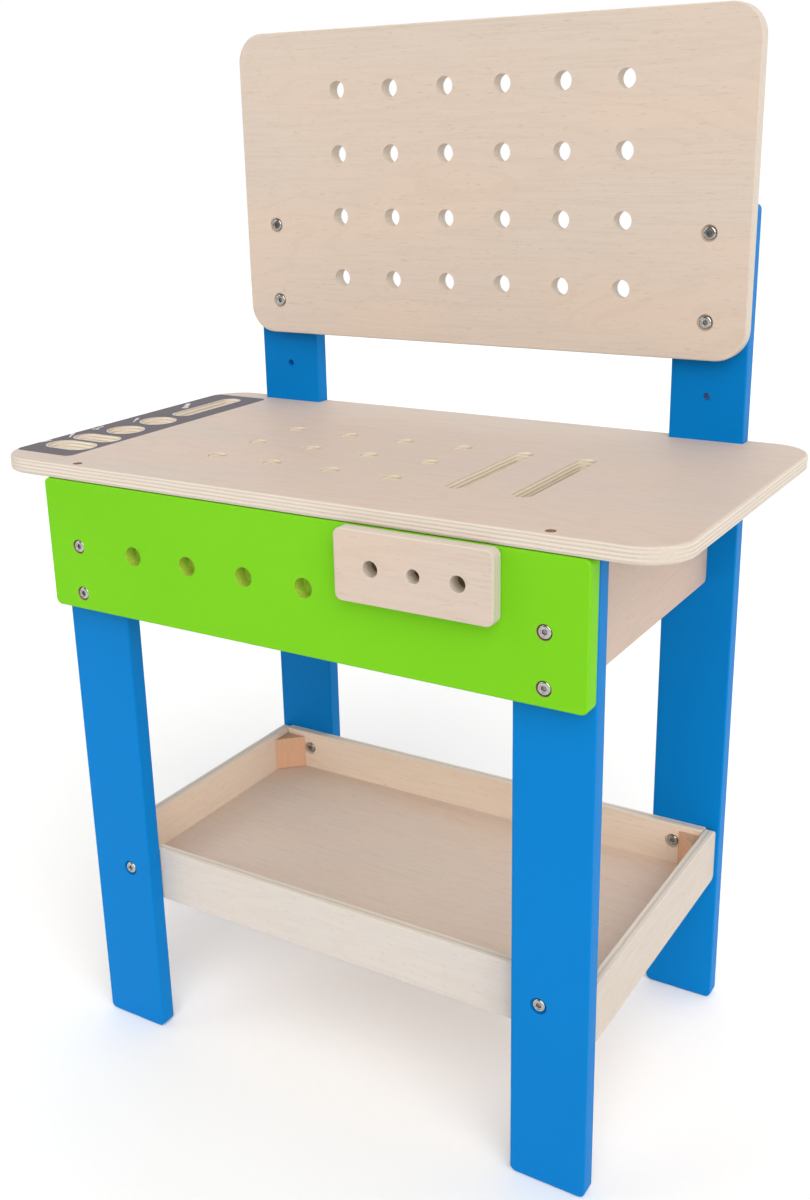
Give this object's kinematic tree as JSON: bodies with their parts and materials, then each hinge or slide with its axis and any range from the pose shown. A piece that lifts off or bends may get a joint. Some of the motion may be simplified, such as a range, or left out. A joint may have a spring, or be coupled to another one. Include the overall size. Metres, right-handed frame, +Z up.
{
  "type": "toy workbench",
  "caption": "Child's wooden play workbench: plywood top with peg holes, slots and tool holes, upright peg panel, painted legs, vise block and a low open tray.",
  "frame": {"origin": "on the floor, in the middle of the bench's bounding box, at z = 0 under the feet", "axes": "+X to the bench's right as seen from its front, +Y to its back, +Z up"},
  "size_m": [0.688, 0.383, 0.998],
  "materials": {
    "birch": "clear satin lacquer on birch plywood and birch boards",
    "blue_paint": "satin blue paint on wooden boards",
    "green_paint": "satin yellow-green paint on a wooden board",
    "beech": "plain hardwood, warm brown",
    "zinc": "bright zinc-plated steel",
    "black_steel": "black-phosphated steel"
  },
  "bodies": {
    "root": {"worktop": "birch", "back_panel": "birch", "vise_block": "birch", "side_apron_left": "birch", "side_apron_right": "birch", "rear_apron": "birch", "tray_wall_front": "birch", "tray_wall_rear": "birch", "tray_wall_left": "birch", "tray_wall_right": "birch", "tray_floor": "birch", "front_leg_left": "blue_paint", "front_leg_right": "blue_paint", "rear_post_left": "blue_paint", "rear_post_right": "blue_paint", "front_apron": "green_paint", "tray_corner_block_front_left": "beech", "tray_corner_block_front_right": "beech", "tray_corner_block_rear_left": "beech", "tray_corner_block_rear_right": "beech", "dowel_left_lower": "beech", "dowel_left_upper": "beech", "dowel_right_lower": "beech", "dowel_right_upper": "beech", "apron_bolt_left_lower": "zinc", "frame_bolt_left_lower": "zinc", "apron_nut_left_lower": "zinc", "frame_nut_left_lower": "zinc", "panel_bolt_left_lower": "zinc", "panel_nut_left_lower": "zinc", "apron_bolt_left_upper": "zinc", "frame_bolt_left_upper": "zinc", "apron_nut_left_upper": "zinc", "frame_nut_left_upper": "zinc", "panel_bolt_left_upper": "zinc", "panel_nut_left_upper": "zinc", "tray_bolt_front_left": "zinc", "tray_bolt_rear_left": "zinc", "tray_nut_front_left": "zinc", "tray_nut_rear_left": "zinc", "apron_bolt_right_lower": "zinc", "frame_bolt_right_lower": "zinc", "apron_nut_right_lower": "zinc", "frame_nut_right_lower": "zinc", "panel_bolt_right_lower": "zinc", "panel_nut_right_lower": "zinc", "apron_bolt_right_upper": "zinc", "frame_bolt_right_upper": "zinc", "apron_nut_right_upper": "zinc", "frame_nut_right_upper": "zinc", "panel_bolt_right_upper": "zinc", "panel_nut_right_upper": "zinc", "tray_bolt_front_right": "zinc", "tray_bolt_rear_right": "zinc", "tray_nut_front_right": "zinc", "tray_nut_rear_right": "zinc", "worktop_screw_left": "black_steel", "worktop_screw_right": "black_steel"}
  },
  "joints": []
}
